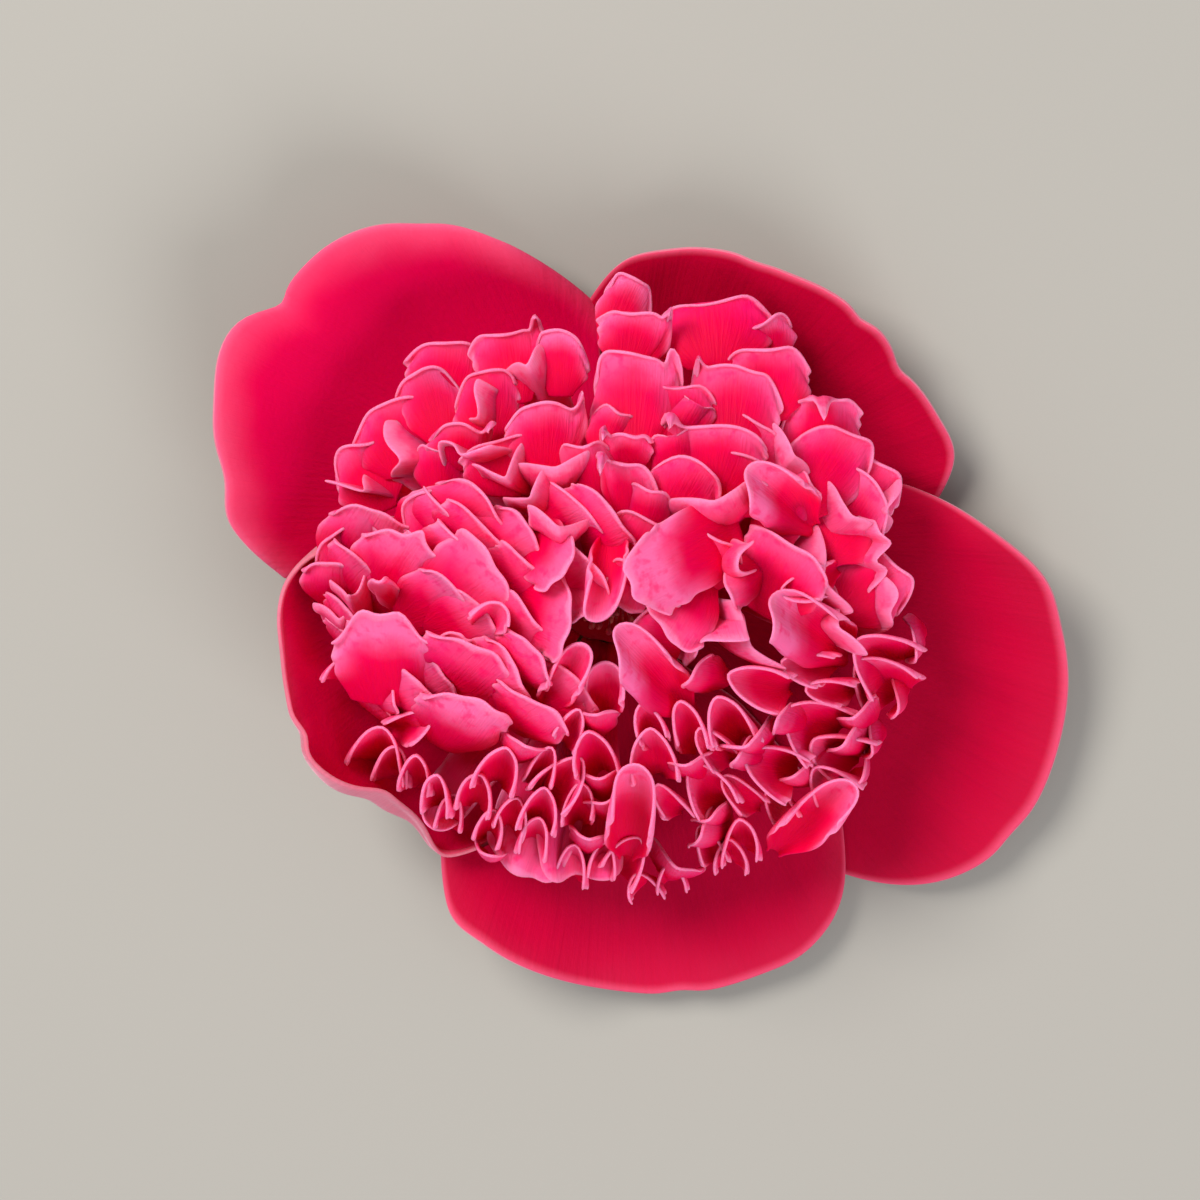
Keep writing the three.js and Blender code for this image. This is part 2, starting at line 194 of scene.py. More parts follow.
def add_sheet(bm, across, along, surface, ripple, edge_crowding, tint=0):
    """Adds a grid bent over surface(u, v), with u from -1 to 1 across and v from 0 to 1 along.

    ripple(u, v) lifts it along its normal, and edge_crowding draws the rows towards the edges.
    The grid's UV map keeps u and v, and tint is one number for the whole sheet."""
    uv_layer = bm.loops.layers.uv.verify()
    layers = bm.verts.layers.float
    tint_layer = layers.get("tint") or layers.new("tint")
    made = bmesh.ops.create_grid(bm, x_segments=across, y_segments=along, size=1)["verts"]
    flat = np.array([v.co[:2] for v in made])
    u = np.sign(flat[:, 0]) * (1 - (1 - np.abs(flat[:, 0])) ** edge_crowding)
    v = 1 - (1 - (flat[:, 1] + 1) / 2) ** edge_crowding
    points = surface(u, v) + normals_of(surface, u, v) * ripple(u, v)[:, None]
    place = {}
    for vert, point, uu, vv in zip(made, points, u, v):
        vert.co = (AXIS_X + point[0] * MM, AXIS_Y + point[1] * MM, FLOOR_Z + point[2] * MM)
        vert[tint_layer] = tint
        place[vert] = ((uu + 1) / 2, vv)
    for face in {face for vert in made for face in vert.link_faces}:
        face.smooth = True
        for loop in face.loops:
            loop[uv_layer].uv = place[loop.vert]


def finish(bm, name, materials, nodes, thickness=0):
    """Makes the mesh an object that stands for its nodes. With a thickness it is a sheet, whose
    first material is its back's and whose last is its face's."""
    mesh = bpy.data.meshes.new(name)
    bm.to_mesh(mesh)
    bm.free()
    for material in materials:
        mesh.materials.append(material)
    piece = bpy.data.objects.new(name, mesh)
    bpy.context.collection.objects.link(piece)
    if thickness:
        solid = piece.modifiers.new("Thickness", "SOLIDIFY")
        solid.thickness = thickness
        solid.offset = 0
        solid.material_offset = len(materials) - 1
    fine = piece.modifiers.new("Smooth", "SUBSURF")
    fine.levels = 1
    fine.render_levels = 1
    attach(piece, "root")
    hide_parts(*nodes)


# ---- petaloids ------------------------------------------------------------------------------

# What a petaloid's blade is like. folds: slope of its cross-section in degrees, evenly spaced from
# one margin to the other, where a rise goes to the blade's back, and fold scales them; crisp: how
# sharp the creases between them are. tilt: how much further back its top leans than is usual so far
# from the middle; lean: its angle from upright instead. lip: how far the very edge curls, in mm.
# square and power: how much shorter the blade is at its margins, and how suddenly; slant: how much
# one side is longer; notch, scallop and spikes (place, height in mm, width): the outline of its top.
# claw, widest and taper: its width where it starts, where it is full, and how much it narrows again.
# lift: how far it stands out of the dome, in mm; pale: how strong its blush is, set low as painted shade on a
# blade whose face lies in shade; arch, rise, spread and swing: how its middle line leaves the start and
# reaches the tip; plain: a coarser grid.
PLAIN_BLADE = dict(crisp=0, tilt=0, power=4, notch=0, scallop=0, spikes=(), claw=0.3, widest=0.82, taper=0.12,
                   ripple=0.3, skew=0, twist=0, fold=1, lift=0, arch=0.3, rise=0.2, spread=0.9, swing=1,
                   plain=False)
FULL_BLADE = dict(power=2.4, widest=0.5, taper=0.05, claw=0.3, square=0.40)
ROUND_BLADE = dict(power=1.7, widest=0.6, taper=0.05, ripple=0.25, square=0.5)
STYLES = {
    "tent": dict(folds=[-52, -60, -62, 62, 60, 52], crisp=0.85, ripple=0.15, tilt=-4, lip=0.8, square=0.09,
                 power=2),
    "vee": dict(folds=[-30, -50, -52, 52, 50, 30], crisp=0.65, tilt=10, lip=0.9, square=0.10, power=2),
    "zig": dict(folds=[-40, 50, -60, 55, -50, 20], crisp=0.7, tilt=5, lip=0.4, square=0.12, notch=0.3),
    "wave": dict(folds=[50, -52, -40, 62, -45, 40], crisp=0.2, tilt=65, lip=0.8, square=0.12, notch=0.3,
                 swing=0.4),
    "arch": dict(folds=[-78, -72, -30, 30, 72, 78], crisp=0.1, tilt=-5, lip=0.8, square=0.12, power=2),
    "wide": dict(folds=[-30, -6, -16, 16, 6, 30], crisp=0.3, tilt=25, lip=0.6, square=0.22, notch=0.3),
    "spoon": dict(folds=[24, 18, 6, -6, -18, -24], tilt=-45, lip=-0.4, square=0.30),
    "scale": dict(folds=[32, 20, 4, -4, -20, -32], lip=0.5, square=0.26, power=3.2, widest=0.5, taper=0,
                  claw=0.5, scallop=0.7, ripple=0.5),
    "fan": dict(folds=[44, 26, 6, -6, -26, -44], lip=0.6, square=0.50, power=1.9, lean=-24, widest=0.6,
                taper=0, claw=0.45, scallop=0.5, ripple=0.5),
    "leaf": dict(ROUND_BLADE, folds=[-96, -72, -46, 46, 72, 96], crisp=0.5, lip=0.5, lean=-22, claw=0.35),
    "keel": dict(ROUND_BLADE, folds=[70, 56, 40, -40, -56, -70], crisp=0.5, lip=0.6, lean=-30, claw=0.4),
    "cup": dict(FULL_BLADE, folds=[-100, -78, -30, 30, 78, 100], lip=0.2),
    "roll": dict(FULL_BLADE, folds=[130, 70, -50, -84, -30, 60, 86], lip=0.2),
}


def blade_of(name):
    """A function that states one blade of a style, as x and y of its tip, its half width, where it
    starts when that isn't on the cushion, and what is its own."""
    def blade(x, y, half_width, *start, **own):
        return x, y, half_width, name, {**own, "start": start} if start else own
    return blade


tent, vee, zig, wave, arch, wide, spoon, scale, fan, leaf, keel, cup, roll = map(blade_of, STYLES)

# Each row is one fascicle. face is the azimuth that a blade's back looks to, when that isn't
# straight out or towards its start.
FASCICLES = [
    [fan(-24, 22, 5.2, -22.5, 13, pale=0.6), fan(-27.8, 17, 4.4, -25, 9), vee(-24, 16, 5.5, face=180)],
    [fan(-17, 28, 4.6, -18.5, 20, pale=0.5), fan(-20.5, 25.3, 4, -18, 17), fan(-13.6, 26, 4, -13, 17.5),
     vee(-15, 22, 4.5, face=133), fan(-15.6, 20.5, 3.8, -16.5, 14.5, spikes=[(0.9, 5, 0.14)])],
    [fan(-11.3, 29.8, 4.4, -10.2, 21.5, spikes=[(0.85, 6, 0.14)]),
     fan(-5.5, 30, 3.6, -5.3, 22.5, fold=1.6, pale=1.6), vee(-9, 26.5, 4),
     fan(-6.6, 23.3, 4.6, -6.7, 14.5, pale=1, spikes=[(0.9, 5, 0.14)])],
    [zig(-16, 17.5, 6.5, folds=[20, 25, 88, 60, -30, -30]), vee(-11, 16, 5, fold=1.2),
     vee(-5.4, 17.4, 6.2, face=93, fold=0.7, lean=52)],
    [fan(-20.5, 13.5, 5, -16, 5), fan(-11.7, 13.3, 5.4, -19.5, 6.5)],
    [tent(-27.5, 12.5, 5, fold=1.2), fan(-29.5, 8, 4.5, -27, 0), scale(-24.6, 10.7, 5.6, -30, 0.5)],
    [scale(-11, 6.8, 5.8, -19.5, -1.7), scale(-8, 10.5, 5, -15, 5, lift=-3),
     scale(-20, 8.5, 5.4, -26.5, -1.7, spikes=[(0, 2.5, 0.1)])],
    [scale(-31, 4.5, 5, -32, -3), vee(-31, -1.5, 4.5, -26.5, -6.5, 13, face=95, lean=35)],
    [tent(-27.5, 1.5, 5, face=100, lean=35, spikes=[(0, 2.5, 0.15)]),
     spoon(-22.5, 3.4, 1.6, -22.3, -3, 16, lean=-10, lift=2.5, pale=2.6)],
    [scale(-21.2, 0.9, 6.4, -23.5, -12, 20, scallop=2.2, lift=3.5, lean=-55, fold=0.4, claw=0.8, slant=0,
      pale=1.5, square=0.4, power=2.2, widest=0.55), leaf(-27.1, -6.9, 5.6, -29.5, -11.5, fold=0.9)],
    [arch(-11, 2.4, 3.2, -14, -2.5, fold=0.9), scale(-15, -1, 2, -17.2, -6),
     scale(-12.7, -2.2, 5.6, -19.5, -10.5)],
    [scale(-4.2, 5.6, 3.6, -8.5, 9.5), scale(-3.3, 0.9, 5, -10.5, 2.2)],
    [scale(-6.8, -2.6, 4.2, -11, -6.5), cup(-2.3, -2.1, 4.2, -6.3, -10.5, lean=-45),
     scale(-6.5, -8.5, 5, -11, -13)],
    [scale(-13.2, -7.4, 5.4, -19, -17, lift=1.5, fold=1.2, pale=1.3), keel(-8, -12, 4.2, -10, -17.5)],
    [leaf(-24, -14.8, 6.2, -25.2, -20.5, lift=1.2, fold=0.85, crisp=0.1, slant=0),
     leaf(-23.4, -17.4, 4.4, -24.6, -23, lift=1, fold=0.95, crisp=0.1, slant=0),
     leaf(-20.3, -17.2, 4.4, -21.3, -23, lift=0.8, slant=0)],
    [leaf(-17.8, -19, 4.6, -18.6, -25, lift=1, slant=0), spoon(-19.5, -27, 3.5, lean=10),
     leaf(-17.4, -23, 3.6, -18.5, -28.5, slant=0)],
    [leaf(-13.4, -18.5, 4.8, -15, -24.5, lift=1, slant=0),
     leaf(-10.6, -14.6, 5.2, -12.5, -21, lift=1, slant=0), leaf(-12.6, -23.8, 3.8, -14, -29.5, slant=0)],
    [wave(-10.5, -32.6, 6.5, lean=112, rise=0.9, lift=0),
     wave(-4, -33.8, 6, lean=112, rise=0.9, folds=[-50, 40, 52, -40, -30, 45])],
    [leaf(-7, -20.5, 4.8, -8, -26.5, slant=0), leaf(-7.8, -25, 4.2, -9, -30.5, slant=0),
     keel(-1.8, -24.5, 4, -2.5, -30.5)],
    [leaf(-3.5, -17, 5.8, -7, -22), leaf(-1.5, -12.5, 5.2, -0.5, -18.5)],
    [cup(3.2, -15.2, 6, 1.8, -30, 16, lean=-25, lift=2.5, arch=0.3, pale=1.3),
     keel(9, -24.5, 5, 13.5, -28.5), leaf(10, -18, 5.8, 13, -23.5)],
    [leaf(3, -27.5, 5.2, 0.5, -33), keel(8.3, -29.2, 5.4, 6, -34.5),
     leaf(13.2, -28, 4.4, 13.6, -33.5, slant=0)],
    [leaf(5, -13, 5.8, 5.5, -19), roll(1, -0.6, 6.6, 9, -11.5, lean=-50, lift=1.5, pale=1.6),
     cup(0, -5, 4.4, 0, -11, lift=-2), scale(2.4, -1.8, 3.6, 8, -3, lift=-3),
     keel(-0.5, -8, 3.6, -1.5, -14), leaf(8.5, -10, 4.6, 10, -16)],
    [leaf(13.8, -24.5, 5.4, 14.5, -30.5, lift=1, slant=0),
     cup(23, -19, 5.6, 18, -30, 13, lean=-20, lift=2.4, arch=0.3, pale=1.2)],
    [leaf(16, -16.5, 6.3, 21, -19.5), keel(14, -12, 5.4, 17, -17)],
    [leaf(14.5, -6.5, 5.8, 20, -9), leaf(12.5, -9.5, 5.4, 15, -15),
     vee(16, -2, 6, face=30, fold=0.6, lean=35)],
    [vee(11, -2, 5, face=320, fold=0.6), scale(6.4, -0.6, 4.4, 10.5, 5)],
    [leaf(21, -12, 6.3, 25.5, -16, fold=0.75), keel(26, -11, 4.5, 28.5, -16.5)],
    [leaf(23.5, -16, 5.2, 28, -19.5, fold=0.75), leaf(22.6, -19.1, 5.2, 26, -23.5, fold=0.8),
     keel(25.1, -14.3, 4.5, 28, -19.5)],
    [leaf(26.8, -4.2, 6.4, 31.5, -9, fold=0.7, lift=1), leaf(28.2, -7.5, 5.8, 32, -12.5, fold=0.75)],
    [roll(16.6, 1.8, 7.4, 26, -7, lean=-45, lift=1.5, arch=0.3, pale=1.6), vee(25.5, -1.5, 5)],
    [wide(30.5, -1, 5), fan(31.5, 4.5, 5, 25, -2)],
    [vee(24.5, 4, 6.5, face=2, fold=0.85, crisp=0.3), zig(29, 5, 7.5, fold=1)],
    [vee(26, 10.5, 5, face=60, fold=0.7), vee(31, 10, 5, face=5)],
    [scale(20.5, 8, 5.5, 16, 0), arch(14.5, 6.5, 4.2, face=35)],
    [roll(14.4, 15, 6.6, 22, 8, lift=1, pale=1.6),
     vee(20.7, 17.7, 4.6, face=55, fold=0.75, lean=48, pale=1)],
    [fan(30, 16, 6, 23, 8), fan(26, 19, 5, 20, 10), fan(29, 13.5, 5, 23, 5)],
    [fan(22.5, 23.1, 5.2, 22.7, 13, spikes=[(-0.15, 3, 0.07), (0.15, 5, 0.14)]),
     fan(16.8, 31.4, 3.6, 17.5, 25, fold=1.6, pale=1.6), fan(16.4, 28, 5.2, 17, 19.5, pale=0.8)],
    [fan(13.8, 26.9, 5.4, 13, 16, pale=0.8, spikes=[(-0.85, 6, 0.14)]),
     # This blade's face lies in shade: its low pale paints that shade
     fan(11, 34, 7.2, 11.3, 25, pale=0.1)],
    [fan(11.8, 21.2, 6.2, 11, 12.5, pale=1, spikes=[(-0.85, 6.5, 0.14)]),
     vee(11.5, 14, 6.5, face=108, fold=0.6, lean=48)],
    [fan(3.1, 35.4, 3.4, -0.5, 27.5, fold=1.6, pale=1.6),
     fan(3.2, 31.5, 4.2, 1.8, 25, pale=0.9, spikes=[(0.85, 5, 0.14)]),
     fan(2.6, 28, 5.4, 2.6, 15.5, fold=1.3, pale=0.9, spikes=[(0.9, 5.5, 0.14)])],
    [fan(2, 20.8, 3, 2.1, 15, pale=1, spikes=[(-0.85, 6, 0.14)]),
     fan(2.1, 18, 3.2, 2.2, 10, pale=1, spikes=[(-0.85, 6, 0.14)])],
    [vee(-4.7, 11.2, 4.4, face=97, fold=0.9, lean=52, lift=1), vee(-8.5, 14, 4.4, fold=0.9)],
    [scale(2.3, 5, 4.7, 14, 9.5, 23, lean=-66, lift=3, fold=0.9, claw=0.85, pale=1.8, slant=0),
     cup(-0.4, 1.4, 4.6, 0.4, 10, lean=-60), scale(-1.8, 1, 3, -5, 7, lift=-2.5),
     scale(1.4, 2.2, 3, 4.5, 8, lift=-2.5)],
]
FILL_RADII = (32, 29.5, 27.5, 24, 20.5, 17, 13.5, 10, 7, 4.4)
FILL_SPACING = 2.9
FILL_REACH_HIGH = 28
FILL_REACH_LEFT = 30
FILL_ROOM_LOW = 2.75
FILL_ROOM_HIGH = 3.3
# Half widths of the small petaloids that fill the dome, and their widening in each part of it
FILL_HALF_WIDTH = (3.3, 4.1)
FILL_WIDENING_HIGH = 1.3
FILL_WIDENING_LOW = 1.08
FILL_LENGTH = 5.5
RIBBON_HALF_LENGTH = 4
CLAW_GATHER = 0.55
CLAW_LEAN = 13
CLAW_LEAN_SHARE = 0.93
CURLED_LEAN = -55
START_DROP = 6
LOWEST_START = 5
MOST_TWIST = 42
TWISTED_REACH = 8
TWISTED_DROP = 14
LOWEST_TWISTED = 6
GUARD_CLEARANCE = 5.5
SECTION_STEPS = 60
# Natural differences between blades: degrees of facing, lean and fold, then shares, and mm of lift
FACE_SPREAD = 14
LEAN_SPREAD = 9
CURLED_LEAN_SPREAD = 8
FOLD_SPREAD = 6
SKEW_SPREAD = 0.12
TWIST_SPREAD = 0.7
SLANT_SPREAD = 0.14
LIFT_SPREAD = 0.8
PALE_RANGE = (0.4, 0.9)
RIPPLE_WAVES = (2.2, 4.0)
EDGE_CROWDING = 1.25
# Where along a blade its lip and its twist start, and where across it its ripple does
LIP_START = 0.86
TWIST_START = 0.5
RIPPLE_START = 0.35
# Grid cells across and along a blade
PLAIN_GRID = (8, 12)
USUAL_GRID = (12, 18)
SPIKED_GRID = (18, 18)


def petaloid_claw(tip):
    """Where a petaloid that ends at this tip grows from the cushion."""
    radius = math.hypot(tip[0], tip[1])
    azimuth = math.atan2(tip[1], tip[0])
    lean = math.radians(CLAW_LEAN) + math.atan2(radius, tip[2] - CUSHION_HEIGHT) * CLAW_LEAN_SHARE
    out = CUSHION_RADIUS * math.sin(lean)
    return np.array([out * math.cos(azimuth), out * math.sin(azimuth),
                     CUSHION_HEIGHT + CUSHION_RADIUS * math.cos(lean)])


def keep_inside(x, y):
    """Draws a place in, where it would be out past the dome or in the raised petal's rolled rim."""
    azimuth = math.degrees(math.atan2(y, x)) % 360
    reach = float(np.interp(azimuth, *zip(*DOME_REACHES)))
    shrink = min(1, reach / max(math.hypot(x, y), 1))
    return x * shrink, y * shrink


def petaloid_tip(x, y, dome_top):
    """The place of a tip on the dome, or above the guard petals where the dome is lower."""
    x, y = keep_inside(x, y)
    radius = math.hypot(x, y)
    dome = dome_top / MM - DOME_DROP * (radius / DOME_RADIUS) ** 2
    above = float(guard_height(radius, math.degrees(math.atan2(y, x)))) + GUARD_CLEARANCE
    return np.array([x, y, max(dome, above)])


def section(style):
    """The blade's cross-section: offsets across and out for u from -1 to 1."""
    u = np.linspace(-1, 1, SECTION_STEPS)
    place = (u + 1) / 2 * (len(style["folds"]) - 1)
    lower = np.floor(place)
    part = place - lower
    sharp = smooth(part, 0.5 * style["crisp"], 1 - 0.5 * style["crisp"])
    angle = np.radians(np.interp(lower + sharp, range(len(style["folds"])), style["folds"]))
    step = 2 / (SECTION_STEPS - 1)
    across = np.cumsum(np.cos(angle) * step)
    out = np.cumsum(np.sin(angle) * step)
    middle = np.interp(0, u, across)
    return u, across - middle, out - out.mean()


def unit(vector):
    return vector / np.maximum(np.linalg.norm(vector, axis=-1, keepdims=True), 1e-6)


def petaloid_surface(tip, claw, half_width, style):
    """A function of (u, v) that gives the points of one petaloid's blade, in mm."""
    chord = tip - claw
    length = np.linalg.norm(chord)
    face = math.radians(style["face"])
    lean = math.radians(style["lean"])
    back = np.array([math.cos(face), math.sin(face), 0])
    side_way = np.cross([0, 0, 1.0], back)
    end_way = math.sin(lean) * back + np.array([0, 0, math.cos(lean)])
    u_table, across_table, out_table = section(style)

    outward = unit(np.array([claw[0], claw[1], 0.0]))
    rising = length * (outward * math.cos(style["rise"]) + np.array([0, 0, math.sin(style["rise"])]))
    if "start" in style:
        start_way = chord + np.array([0, 0, style["arch"] * length])
    else:
        start_way = chord + (rising - chord) * style["spread"]

    def spine(v):
        """A Hermite curve that leaves the claw along start_way and reaches the tip along end_way."""
        v = v[:, None]
        start_part = v ** 3 - 2 * v ** 2 + v
        end_part = v ** 3 - v ** 2
        blend = 3 * v ** 2 - 2 * v ** 3
        return claw + chord * blend + start_way * start_part + length * style["swing"] * end_part * end_way

    def surface(u, v):
        side = np.abs(u)
        ends = 1 - style["square"] * side ** style["power"]
        ends = ends - 0.1 * style["notch"] * np.exp(-(u / 0.22) ** 2) + style["slant"] * u
        ends = ends + style["scallop"] * 0.03 * np.cos(u * 9 + style["phase"])
        for place, height, width in style["spikes"]:
            ends = ends + height / length * np.exp(-((u - place) / width) ** 2)
        reach = v * ends
        along = unit(spine(reach + SLOPE_STEP) - spine(reach - SLOPE_STEP))
        across = unit(side_way - along * (along @ side_way)[:, None])
        out = np.cross(across, along)
        swell = style["claw"] + (1 - style["claw"]) * smooth(v, 0, style["widest"])
        half = half_width * swell * (1 - style["taper"] * smooth(v, style["widest"], 1.05))
        t = np.interp(u, u_table, across_table)
        q = np.interp(u, u_table, out_table) + style["skew"] * t
        deep = 0.55 + 0.45 * smooth(v, 0.2, 0.9)
        lip_part = beyond(v, LIP_START) ** 2 * (0.4 + 0.6 * side)
        twist = style["twist"] * beyond(v, TWIST_START) * t
        return (spine(reach) + across * (half * t)[:, None]
                + out * (half * q * deep + style["lip"] * lip_part + twist)[:, None])

    return surface


def usual_lean(x, y):
    """Angle from upright of the petaloids' tops: least near the middle and on the -Y side."""
    lean = np.interp(math.hypot(x, y), [0, 8, 16, 26, 34], [-15, 5, 24, 26, 20])
    return float(lean - 38 * smooth(-y, -4, 10))


def petaloid_style(name, own, x, y, rng):
    style = {**PLAIN_BLADE, **STYLES[name]}
    style["face"] = math.degrees(math.atan2(y, x)) + rng.uniform(-FACE_SPREAD, FACE_SPREAD)
    style["lean"] = usual_lean(x, y) + style["tilt"] + rng.uniform(-LEAN_SPREAD, LEAN_SPREAD)
    if "start" in own:
        style["face"] = math.degrees(math.atan2(own["start"][1] - y, own["start"][0] - x))
        style["lean"] = (STYLES[name].get("lean", CURLED_LEAN)
                         + rng.uniform(-CURLED_LEAN_SPREAD, CURLED_LEAN_SPREAD))
    style["skew"] += rng.uniform(-SKEW_SPREAD, SKEW_SPREAD)
    style["twist"] += rng.uniform(-TWIST_SPREAD, TWIST_SPREAD)
    style["phase"] = rng.uniform(0, TURN)
    style["pale"] = rng.uniform(*PALE_RANGE)
    style["slant"] = rng.uniform(-SLANT_SPREAD, SLANT_SPREAD)
    style.update(own)
    style["folds"] = [style["fold"] * slope + rng.uniform(-FOLD_SPREAD, FOLD_SPREAD)
                      for slope in style["folds"]]
    return style


def petaloid_start(entry, tip, claw, style, dome_top):
    """Where a blade starts: at its own place, on the cushion, or below its tip if it faces far aside."""
    if "start" in style:
        x, y, *z = style["start"]
        x, y = keep_inside(x, y)
        below_dome = petaloid_tip(x, y, dome_top)[2] - START_DROP
        return np.array([x, y, z[0] if z else max(below_dome, LOWEST_START)])
    away = (style["face"] - math.degrees(math.atan2(entry[1], entry[0])) + 180) % 360 - 180
    if abs(away) < MOST_TWIST:
        return claw
    face = math.radians(style["face"])
    style["start"] = (entry[0] - TWISTED_REACH * math.cos(face), entry[1] - TWISTED_REACH * math.sin(face),
                      max(tip[2] - TWISTED_DROP, LOWEST_TWISTED))
    return np.array(style["start"], float)


def taken_places(rows):
    """Where the placed petaloids leave no room: at their tips, along those that stand out of the
    dome, and at both ends of the ribbons."""
    taken = []
    for x, y, _, name, own in (entry for row in rows for entry in row):
        taken.append((x, y))
        if name == "wave":
            taken += [(x + side, y + 1) for side in (-RIBBON_HALF_LENGTH, RIBBON_HALF_LENGTH)]
        if own.get("lift", 0) >= 1 and "start" in own:
            foot = own["start"]
            taken += [(x + (foot[0] - x) * t, y + (foot[1] - y) * t) for t in (0.3, 0.6)]
    return taken


def is_scaly(x, y):
    """Whether a place is in the left part of the dome, where the petaloids overlap like scales."""
    return x < 2 and y - 0.1 * x > -8 and y - 0.3 * x < 16


def filling_blade(x, y, angle, rng):
    """Style, start and lift of a small petaloid: a scale at the left, a fan above, an arch below."""
    if is_scaly(x, y):
        return scale, (x - FILL_LENGTH + rng.uniform(-1, 1), y - 5 + rng.uniform(-1, 1)), -1.5
    if y > 4:
        style = rng.choice([fan, fan, keel])
        return style, (0.8 * x + rng.uniform(-4, 4), y - 8), -1.3
    turn = angle + rng.uniform(-0.2, 0.2)
    style = rng.choice([keel, keel, leaf] if x > 15 else [leaf, leaf, keel])
    return style, (x + FILL_LENGTH * math.cos(turn), y + FILL_LENGTH * math.sin(turn)), -0.5


def filling_rows(rows, seed):
    """The rows with small petaloids added wherever the tips leave room for one more."""
    rows = [list(row) for row in rows]
    taken = taken_places(rows)
    for radius in FILL_RADII:
        count = int(2 * math.pi * radius / FILL_SPACING)
        for i in range(count):
            rng = random.Random(f"{seed} {radius} {i}")
            angle = 2 * math.pi * (i + rng.uniform(-0.25, 0.25)) / count
            reach = radius + rng.uniform(-1, 1)
            x, y = reach * math.cos(angle), reach * math.sin(angle)
            scaly = is_scaly(x, y)
            room = FILL_ROOM_LOW if y < 4 or scaly else FILL_ROOM_HIGH
            if radius > (FILL_REACH_LEFT if x < -15 else FILL_REACH_HIGH) and (y > 0 or x < -15):
                continue
            if min(math.dist((x, y), other) for other in taken) < room:
                continue
            nearest = min(rows, key=lambda row: min(math.dist((x, y), entry[:2]) for entry in row))
            style, start, lift = filling_blade(x, y, angle, rng)
            widening = FILL_WIDENING_HIGH if scaly or y > 4 else FILL_WIDENING_LOW
            half_width = rng.uniform(*FILL_HALF_WIDTH) * widening
            nearest.append(style(x, y, half_width, *start, lift=lift, plain=True))
            taken.append((x, y))
    return rows


def build_petaloids(sizes, colours):
    material = petaloid_material(colours)
    for index, row in enumerate(filling_rows(FASCICLES, sizes.seed)):
        tips = [petaloid_tip(entry[0], entry[1], sizes.dome_top) for entry in row]
        claws = [petaloid_claw(tip) for tip in tips]
        foot = sum(claws) / len(claws)
        bm = bmesh.new()
        for entry, tip, claw in zip(row, tips, claws):
            x, y, half_width, name, own = entry
            rng = random.Random(f"{sizes.seed} {x:.2f} {y:.2f}")
            style = petaloid_style(name, own, x, y, rng)
            lift = style["lift"] + rng.uniform(-LIFT_SPREAD, LIFT_SPREAD)
            tip = tip + unit(tip - np.array([0, 0, CUSHION_HEIGHT])) * lift
            start = petaloid_start(entry, tip, claw + (foot - claw) * CLAW_GATHER, style, sizes.dome_top)
            surface = petaloid_surface(tip, start, half_width, style)
            waves = rng.uniform(*RIPPLE_WAVES)

            def ripple(u, v, style=style, waves=waves):
                edge = beyond(np.abs(u), RIPPLE_START) ** 2 * smooth(v, 0.3, 0.9)
                top = smooth(v, 0.75, 1.0)
                return style["ripple"] * (edge * np.sin(waves * v * TURN + style["phase"] + 2 * u)
                                          + 0.6 * top * np.sin(4.2 * u + style["phase"]))

            grid = PLAIN_GRID if style["plain"] else SPIKED_GRID if style["spikes"] else USUAL_GRID
            add_sheet(bm, *grid, surface, ripple, EDGE_CROWDING, style["pale"])
        node = f"petaloids_{index + 1:02d}"
        finish(bm, f"{node}_blades", [material], [node], sizes.petaloid_thickness)


# ---- guard petals ---------------------------------------------------------------------------

# edge: distances from the axis to the rim, evenly spaced across the petal; nicks: place across,
# depth in mm and width of each dent in the rim; roll: how far the rim curls back, in mm; tuck: how
# far it leans in, and crest: how far out it climbs before it does; low, high: -1 where that side
# tucks under its neighbour, 1 where it lies over; wave: how high its soft waves are, in mm; pale: how
# much painted light its face gets: a lighter, sunlit crimson, and a painted sheen towards its tip
GUARD_PETALS = [
    dict(node="guard_petal_upper_left", azimuth=137, half_angle=43, low=-1, high=1, roll=2.4, wave=1.1,
         pale=0.75, edge=[29, 36, 43, 47.5, 50.2, 50.2, 51.4, 48.2, 44.8, 42, 37],
         nicks=[(0.06, 1.9, 0.05), (-0.45, 0.4, 0.06), (0.6, 0.5, 0.08)]),
    dict(node="guard_petal_upper_right", azimuth=54, half_angle=43, low=1, high=1, roll=0.9, wave=0.8,
         pale=0, edge=[36, 40, 40.3, 40.2, 41.2, 41, 40.2, 39.2, 37.5, 35.5, 30],
         nicks=[(-0.14, 0.8, 0.04), (-0.38, 0.6, 0.04), (0.3, 0.4, 0.05)]),
    dict(node="guard_petal_right", azimuth=-22, half_angle=40, low=1, high=-1, roll=0.2, wave=0.7,
         pale=0.05, edge=[35, 44, 50.5, 53.7, 54.4, 53.8, 52.5, 50.2, 47.7, 41.5, 34],
         nicks=[(-0.3, 0.4, 0.06)]),
    dict(node="guard_petal_lower", azimuth=-86, half_angle=38, low=1, high=-1, roll=0.7, wave=0.6,
         pale=0.1, edge=[35, 42, 44.6, 47, 49, 50.4, 50.8, 50.4, 49.6, 46, 38],
         nicks=[(0.12, 0.5, 0.05)]),
    dict(node="guard_petal_raised_left", azimuth=207, half_angle=40, low=-1, high=-1, roll=0, wave=0.5,
         pale=0.5, edge=[36, 42, 44, 44, 44.5, 45.5, 45.5, 45, 45, 45.5, 40], tuck=12, crest=38,
         nicks=[(-0.1, 1.0, 0.05), (0.35, 0.5, 0.06)]),
]
# Where along a guard petal its rim curls back, and where it leans in
CURL_START = 0.84
TUCK_START = 0.66
GUARD_GRID = (52, 36)
CALYX_GRID = (18, 16)
SHEET_CROWDING = 1.2
NO_CREST = 99


